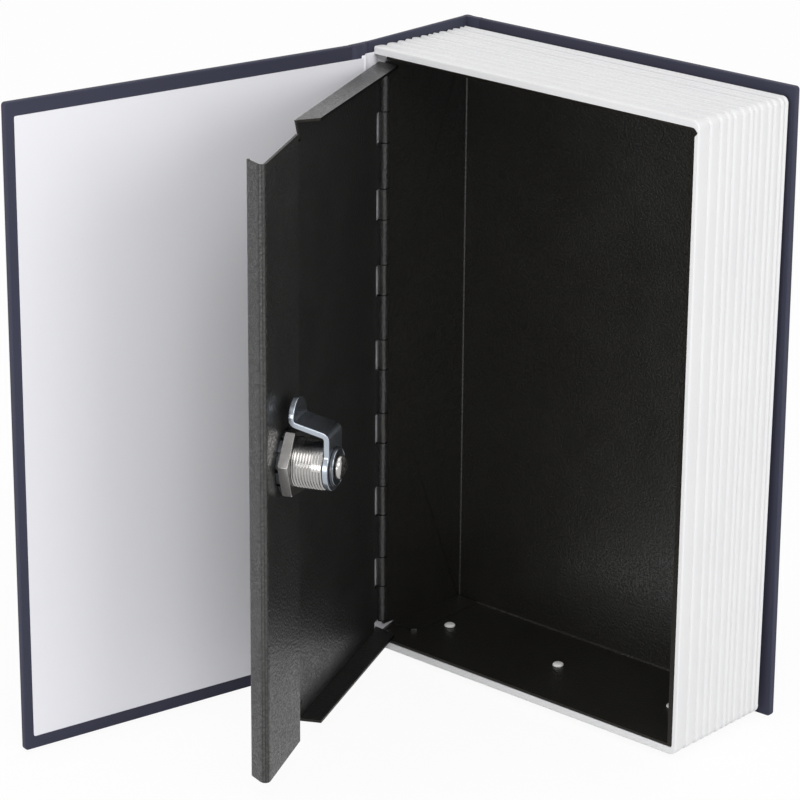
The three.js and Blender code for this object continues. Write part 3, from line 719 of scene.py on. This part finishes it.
def cover_point(u, n):
    """A point of the open front cover, in the book's frame."""
    a = math.radians(COVER_OPEN)
    return (COVER_HINGE[0] + u * math.cos(a) + n * math.sin(a),
            COVER_HINGE[1] - u * math.sin(a) + n * math.cos(a))


def upright_band(name, outline, ends=0.0):
    """A section in X and Y, run up the height of the book but for its ends."""
    return soften(prism(name, outline, ends, BOARD_HEIGHT - ends), 0.12, 1, 50)


joint_start, joint_end = Vector((SPINE_OUTER, -2.3)), Vector(cover_point(7.0, -0.26))
straight = [tuple(joint_start.lerp(joint_end, share / 9)) for share in range(10)]
front_joint = upright_band("front_joint_cloth", [(-2.3, -1.8)] + straight + [
    cover_point(7.0, 0.2), cover_point(6.75, 2.25), cover_point(4.5, 2.3), cover_point(2.6, 2.15),
    (0.05, -5.2), (-0.55, -4.4), (-0.8, -3.6), (-0.8, -2.6), (-0.6, -1.8),
])
settle(front_joint, BOOK, None, cloth, smooth=60)
BOOK @ mm(-1.0, -2.9)
BOOK @ mm(*cover_point(3.0, 1.2))
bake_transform(front_joint)

back_joint = upright_band("back_joint_cloth", [
    (-2.33, 51.6), (-2.35, 52.9), (-2.2, 53.6), (-1.8, BACK_OUTER - 0.12), (-1.2, BACK_OUTER),
    (0.3, BACK_OUTER - 0.15), (1.0, BACK_OUTER - 0.35), (3.4, BACK_OUTER - 0.4), (4.4, BACK_OUTER - 0.2),
    (5.4, BACK_OUTER - 0.04), (5.4, 51.65), (0.5, 51.6), (-0.5, 51.6),
])
settle(back_joint, BOOK, "case", cloth, smooth=60)

paper_joint = upright_band("front_joint_endpaper", [
    (-0.35, 2.0), (-0.35, -0.6), (-0.42, -1.2), (-0.56, -2.0), (-0.66, -2.9), (-0.68, -3.7), (-0.46, -4.5),
    (0.25, -5.25), cover_point(1.5, 2.42), cover_point(2.2, 2.4), cover_point(2.8, 2.4),
    cover_point(2.8, 2.62), cover_point(2.0, 2.7), cover_point(1.75, 2.74), cover_point(1.2, 2.75),
    cover_point(1.0, 2.75), (0.6, -4.98), (-0.14, -4.3), (-0.37, -3.6), (-0.37, -2.9), (-0.27, -2.0),
    (-0.12, -1.1), (-0.05, -0.35), (-0.05, 2.0),
], PAPER_ENDS)
settle(paper_joint, BOOK, None, paper, smooth=60)
BOOK @ mm(-0.3, -2.9)
BOOK @ mm(0.7, -5.2)
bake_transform(paper_joint)

spine_paper = box("spine_endpaper", (-0.35, 1.8, PAPER_ENDS), (-0.05, PAGE_DEPTH, BOARD_HEIGHT - PAPER_ENDS))
settle(soften(spine_paper, 0.08, 1), BOOK, "case", paper, ["spine_lining"])


# page block
def rib_profile():
    """(depth from the front, cut below the crest) round the closed section; None is the inner face."""
    crest = ((0.18, 0.74), (0.4, 0.34), (0.7, 0.08), (RIB_RISE, 0.0))
    fall = ((0.42, 0.04), (0.58, 0.16), (0.74, 0.34), (0.88, 0.56), (0.96, 0.8))
    points = [(0.0, None), (0.0, 0.75), (0.08, 0.4), (0.25, 0.16), (0.6, 0.03), (RIB_RISE, 0.0)]
    start = 0.0
    for index, width in enumerate(RIB_WIDTHS):
        if index:
            points += [(start, RIB_DEPTH)] + [(start + along, RIB_DEPTH * under) for along, under in crest]
        points += [(start + max(width * along, RIB_RISE + along * 0.3), RIB_DEPTH * under)
                   for along, under in fall]
        start += width
    points += [(PAGE_DEPTH, RIB_DEPTH)] + [(PAGE_DEPTH * share, None) for share in (1, 0.66, 0.33)]
    return points + [points[0]]


def page_stations():
    """(x, z, outward x, outward z, wall, fall) along the sweep. The wall thins by the fall to the back."""
    stations = [(x, PAGE_HEAD, 0, 1, HEAD_WALL, HEAD_FALL) for x in (0.0, 0.5, 70.0)]
    for centre, first, walls, falls in (
            (PAGE_HEAD - PAGE_CORNER, 90, (HEAD_WALL, FORE_WALL), (HEAD_FALL, 0.0)),
            (PAGE_FOOT + PAGE_CORNER, 0, (FORE_WALL, FOOT_WALL), (0.0, 0.0))):
        for step in range(CORNER_STEPS + 1):
            share = step / CORNER_STEPS
            angle = math.radians(first - 90 * share)
            nx, nz = math.cos(angle), math.sin(angle)
            wall, fall = (start + (end - start) * share for start, end in (walls, falls))
            stations.append((PAGE_FORE - PAGE_CORNER + PAGE_CORNER * nx, centre + PAGE_CORNER * nz,
                             nx, nz, wall, fall))
        if first == 90:
            stations.append((PAGE_FORE, MIDDLE, 1, 0, FORE_WALL, 0.0))
    return stations + [(x, PAGE_FOOT, 0, -1, FOOT_WALL, 0.0) for x in (70.0, 0.5, 0.0)]


def page_block():
    """The hollow ribbed moulding, a little deeper at the head of its fore-edge than at the foot."""
    profile, stations = rib_profile(), page_stations()

    def place(row, column):
        x, z, nx, nz, wall, fall = stations[row]
        depth, under = profile[column]
        out = 0.0
        if under is not None:
            local = wall - fall * depth / PAGE_DEPTH
            out = max(local - under * (1 - FORE_RIB_LOSS * nx), local * THINNEST_SHARE)
        lean = (HEAD_LEAN - FOOT_LEAN * (1 - z / BOARD_HEIGHT)) * x / PAGE_RIGHT
        return x + nx * out, depth * (1 + lean), z + nz * out

    return close_up(grid("ribbed_page_block", len(stations), len(profile), place))


settle(page_block(), BOOK, "case", pages, ["page_block"], smooth=50)


# steel box and door
steel_box = cut(copied("steel_box", "folded_steel_box"),
                box("hinge_corner", (row_x(-0.2), row_y(-0.6), BOX_HEAD - SHEET - 0.3),
                    (row_x(5.9), row_y(5.4), BOX_HEAD + 0.4)))
modify(steel_box, "TRIANGULATE", ngon_method="BEAUTY")
with Editing(steel_box) as edit:
    inner_back = row_y(BOX_BACK - SHEET)
    edit.bevel(lambda e: all(abs(v.co.y / MM - inner_back) < 0.02 for v in e.verts)
               and e.calc_length() > 0.05 and e.calc_face_angle(0) > 0.5, 1.5, 5)
settle(soften(steel_box, 0.16, 2, 40), None, "case", box_steel, ["steel_box"], 40)

hem_tip = prism("hem_corner_tip", [(144.1, -235.2), (144.1, -232.3), (145.1, -232.3), (146.2, -233.4),
                                   (146.3, -233.9), (145.0, -235.2)], -0.25, 0.6)
settle(soften(moved(hem_tip, ALONG_Y), 0.1, 2), BOOK, "case", box_steel)


def door_form(u, n, z):
    """Hand-bent flanges that splay, a notch that slants in, and a lip that was sheared a little askew.
    u, n and z are a point's place across the door, through it and up it."""
    head = z > MIDDLE
    rise = DOOR_HEAD - z if head else z - DOOR_FOOT
    inward = (n - DOOR_OUTER) / (DOOR_INNER - DOOR_OUTER)
    share = u / FLANGE_LENGTH
    on_flange = u < FLANGE_LENGTH + 0.1 and rise < SHEET + 0.4
    in_notch = abs(u - FLANGE_LENGTH) < 0.1 and rise < 12
    past_notch = u > FLANGE_LENGTH and rise < 20
    on_lip = abs(u - LIP_EDGE) < 0.5
    if on_flange:
        z += 0.6 * share + inward * (1.2 * share - 0.4) if head else -1.5 * inward
        u += inward * 3.6 if u > FLANGE_LENGTH - 9 else 0
    elif in_notch:
        u, z = u - 3.8, z - 0.4
    elif past_notch:
        z += 1.2 if on_lip else -0.9
    if on_lip and inward > 0.8:
        u += 3.2
    return u, n, z


def mark_sheared(obj, place):
    """Marks the narrow faces where the sheet was cut, for the finish to find."""
    mark = obj.data.attributes.new("sheared", "FLOAT", "FACE")
    across = place.inverted().to_3x3()
    for face in obj.data.polygons:
        u, n, z = (abs(value) for value in across @ face.normal)
        spot = place.inverted() @ face.center / MM
        end = min(spot.z - DOOR_FOOT, DOOR_HEAD - spot.z)
        area = face.area / MM ** 2
        level = z > 0.3 and area < 60
        upright = u > 0.3 and area < 40 and spot.x > 75
        flange_rim = n > 0.5 and area < 120 and end < 2 and spot.y > 4
        mark.data[face.index].value = float(level or upright or flange_rim)


door_panel = copied("door_panel", "folded_steel_door")
for vertex in door_panel.data.vertices:
    vertex.co = DOOR @ mm(*door_form(*(DOOR.inverted() @ vertex.co / MM)))
soften(door_panel, 0.18, 2, 25)
mark_sheared(door_panel, DOOR)
settle(door_panel, None, "door", door_steel, ["door_panel"], 40)

for node, body, slot, finish in (("hinge_pin", "case", "pin", pin_steel),
                                 ("lock_plug", "lock_cam", "nickel", nickel),
                                 ("cam_washer", "lock_cam", "zinc", dark_zinc)):
    settle(soften(copied(node, node + "_finished"), 0.12, 2), None, body, finish, [node], 40)


# rivets
def rivet(node, x, seat, up):
    """A mushroom head on its shank, on the floor (up 1) or the ceiling (up -1) of the box."""
    half = [(0.0, -2.2), (1.3, -2.2), (1.3, 0.0), (2.0, 0.0), (2.1, 0.12), (2.1, 0.4), (1.95, 0.68),
            (1.6, 0.92), (1.0, 1.07), (0.0, 1.12)]
    obj = turned(node + "_head", half, 40)
    spot = BOOK @ Matrix.Translation(mm(x, (BOX_FRONT + BOX_BACK) / 2, seat + up * 0.1))
    settle(obj, spot @ Matrix.Rotation(up * math.pi / 2, 4, "X"), "case", rivets, [node], 40)


for index in range(3):
    across = RIVET_FIRST + RIVET_SPACING * index
    rivet(f"floor_rivet_{index + 1}", across, BOX_FOOT + SHEET, 1)
    rivet(f"ceiling_rivet_{index + 1}", across, BOX_HEAD - SHEET, -1)


# lock
def threaded_housing():
    """Threaded barrel with flats, a smooth shoulder by its end, a domed head and a bore for the plug."""
    radius, root, face = THREAD_RADIUS, THREAD_RADIUS - THREAD_DEPTH, LOCK_FACE
    half = [(0.0, face), (6.0, face), (radius, face), (root, face + 0.5)]
    along = face + 1.2
    while along < LOCK_END - 1.2:
        half += [(radius, along), (radius, along + THREAD_PITCH * 0.12), (root, along + THREAD_PITCH * 0.5),
                 (root, along + THREAD_PITCH * 0.62)]
        along += THREAD_PITCH
    half += [(radius - 0.15, LOCK_END - 0.5), (radius - 0.5, LOCK_END), (0.0, LOCK_END)]
    barrel = turned("threaded_lock_body", half, 96)
    for low, high in ((LOCK_FLAT, 14), (-14, -LOCK_FLAT)):
        cut(barrel, box("flat", (low, face - 1, -12), (high, LOCK_END + 1, 12)))
    shoulder = rod("shoulder", radius - 0.1, LOCK_END - 3.6, LOCK_END - 0.15, 96)
    cut(shoulder, box("below", (-12, 0, -12), (12, 30, 0.5)))
    head = turned("lock_head", [(0.0, face - 1.3), (9.2, face - 1.3), (10.3, face - 1.1), (10.9, face - 0.7),
                                (11.0, face - 0.3), (11.0, face), (0.0, face + 0.6)], 96)
    cut(barrel, head, shoulder, operation="UNION")
    return cut(barrel, rod("bore", PLUG_BORE, -10, 30, 64))


def lock_nut():
    """Hexagon nut with its corners lightly chamfered on both faces."""
    low, high = DOOR_INNER + 1.3, DOOR_INNER + 4.9
    corner = NUT_ACROSS / math.sqrt(3)
    sides = [math.radians(60 * index + NUT_TURN) for index in range(6)]
    nut = prism("hexagon_lock_nut", [(corner * math.cos(a), corner * math.sin(a)) for a in sides], low, high)
    chamfer = turned("chamfer", [(0.0, low - 0.1), (12.3, low - 0.1), (13.4, low + 0.5), (13.4, high - 0.5),
                                 (12.3, high + 0.1), (0.0, high + 0.1)], 96)
    cut(moved(nut, ALONG_Y), chamfer, operation="INTERSECT")
    return soften(cut(nut, rod("bore", THREAD_RADIUS + 0.15, 0, 20, 64)), 0.15, 2)


def slotted(obj, low, high, angles):
    """Cuts a slot, given by its corners, at each angle about Y."""
    for angle in angles:
        cut(obj, moved(box("slot", low, high), Matrix.Rotation(angle, 4, "Y")))
    return obj


def toothed_washer():
    """Dark spring-steel lock washer between the nut and the door, with cut teeth."""
    low = DOOR_INNER + 0.1
    washer = rod("toothed_lock_washer", 11.3, low, low + 1.2, 96)
    cut(washer, rod("bore", 9.0, 0, 20, 64))
    slotted(washer, (9.9, low - 1, -0.7), (13, low + 3, 0.7),
            [2 * math.pi * tooth / WASHER_TEETH for tooth in range(WASHER_TEETH)])
    return soften(washer, 0.1, 1)


def cam_screw():
    """Pan-head screw with a cross recess."""
    seat = SCREW_SEAT
    half = [(0.0, seat - 8.0), (1.5, seat - 8.0), (1.5, seat), (3.9, seat), (4.2, seat + 0.2),
            (4.25, seat + 0.9), (4.0, seat + 1.5), (3.3, seat + 2.0), (2.0, seat + 2.15), (0.0, seat + 2.2)]
    return slotted(turned("cross_head_cam_screw", half, 64), (-0.45, seat + 1.0, -2.2), (0.45, seat + 4, 2.2),
                   [math.radians(turn) for turn in (45, 135)])


settle(threaded_housing(), LOCK, "door", nickel, ["lock_housing"], 30)
settle(lock_nut(), LOCK, "door", nickel, ["lock_nut"], 30)
settle(toothed_washer(), LOCK, "door", dark_zinc, smooth=30)
settle(cam_screw(), LOCK, "lock_cam", nickel, ["cam_screw"], 30)
rim = rod("cam_washer_rim", 6.6, LOCK_END + 2.4, LOCK_END + 3.45, 96)
cut(rim, rod("bore", 6.15, 10, 40, 96))
settle(soften(rim, 0.12, 2), LOCK, "lock_cam", zinc, smooth=30)
settle(soften(copied("cam", "cranked_cam"), 0.3, 3, 40), None, "lock_cam", zinc, ["cam"], 40)

# what stays as the frame has it, with a finish
for node, finish in [("spine_board", board)] + [(f"wafer_{i}", brass) for i in range(1, 6)]:
    holder = frame["nodes"][node]
    if not holder.data.uv_layers:
        lay_out(holder)
    holder.data.materials.clear()
    holder.data.materials.append(finish.material)


# stage
def floor_material():
    """A pale floor that the camera sees nearly white, reflections half so, and that keeps a faint shadow."""
    made = Finish("pale_floor", (250, 250, 250), 0.9)
    path = made.node("ShaderNodeLightPath")
    camera_ray, glossy_ray = (Wire(made, path.outputs[name]) for name in ("Is Camera Ray", "Is Glossy Ray"))
    seen = made.add("ShaderNodeMath", {"operation": "MAXIMUM"}, {0: camera_ray, 1: glossy_ray * FLOOR_MIRROR})
    mixer = made.node("ShaderNodeMixShader", {}, {
        0: seen * FLOOR_GLOW, 1: Wire(made, made.shader.outputs[0]), 2: made.add("ShaderNodeEmission")})
    made.tree.links.new(mixer.outputs[0], made.tree.nodes["Material Output"].inputs[0])
    return made.material


def studio_world():
    """White all round: soft light on the object, and plain white to the camera and in reflections."""
    world = bpy.data.worlds.new("studio")
    world.use_nodes = True
    nodes, links = world.node_tree.nodes, world.node_tree.links
    surround, backdrop = nodes["Background"], nodes.new("ShaderNodeBackground")
    for background, strength in ((surround, WORLD_LIGHT), (backdrop, 1.0)):
        background.inputs["Color"].default_value = (1, 1, 1, 1)
        background.inputs["Strength"].default_value = strength
    ray, seen, choose = (nodes.new("ShaderNode" + kind) for kind in ("LightPath", "Math", "MixShader"))
    seen.operation = "MAXIMUM"
    for source, target in ((ray.outputs["Is Camera Ray"], seen.inputs[0]),
                           (ray.outputs["Is Glossy Ray"], seen.inputs[1]),
                           (seen.outputs[0], choose.inputs[0]),
                           (surround.outputs[0], choose.inputs[1]),
                           (backdrop.outputs[0], choose.inputs[2]),
                           (choose.outputs[0], nodes["World Output"].inputs[0])):
        links.new(source, target)
    return world


deselect()
bpy.ops.mesh.primitive_plane_add(size=12, location=(0, 0, 0))
floor = named("floor")
floor.data.materials.append(floor_material())

scene = bpy.context.scene
scene.world = studio_world()


def softbox(name, place, aim, size, power):
    """A lamp at a place in metres, turned to what it lights."""
    light = bpy.data.lights.new(name, "AREA")
    light.shape = "RECTANGLE"
    light.size, light.size_y = size
    light.energy = power
    holder = bpy.data.objects.new(name, light)
    scene.collection.objects.link(holder)
    holder.location = place
    holder.rotation_mode = "QUATERNION"
    holder.rotation_quaternion = (Vector(aim) - Vector(place)).to_track_quat("-Z", "Y")


softbox("key_softbox", (1.1, -1.2, 1.5), (0, -0.05, 0.12), (1.0, 1.0), 11)
softbox("side_softbox", (1.7, 0.1, 0.7), (0, 0, 0.12), (0.9, 0.9), 5)
softbox("top_softbox", (-0.2, -0.2, 1.9), (0, 0, 0.12), (1.1, 1.1), 5.5)
softbox("front_softbox", (0.25, -1.7, 0.22), (0, -0.05, 0.02), (0.8, 0.5), 5.3)

# the photo's camera, fitted to the edges of the box, door and cover
camera_data = bpy.data.cameras.new("photo_camera")
camera = bpy.data.objects.new("photo_camera", camera_data)
scene.collection.objects.link(camera)
camera_data.sensor_width = SENSOR
camera_data.lens = FOCAL_PIXELS * SENSOR / PICTURE
camera_data.shift_x = (PICTURE / 2 - CENTRE_PIXELS[0]) / PICTURE
camera_data.shift_y = (CENTRE_PIXELS[1] - PICTURE / 2) / PICTURE
camera_data.clip_start, camera_data.clip_end = 0.05, 30
turn = Matrix((CAMERA_RIGHT, CAMERA_UP, [-value for value in CAMERA_AHEAD])).transposed()
camera.rotation_mode = "QUATERNION"
camera.rotation_quaternion = turn.to_quaternion()
camera.location = BOOK @ mm(*CAMERA_PLACE)
scene.camera = camera
scene.view_settings.view_transform = "Standard"
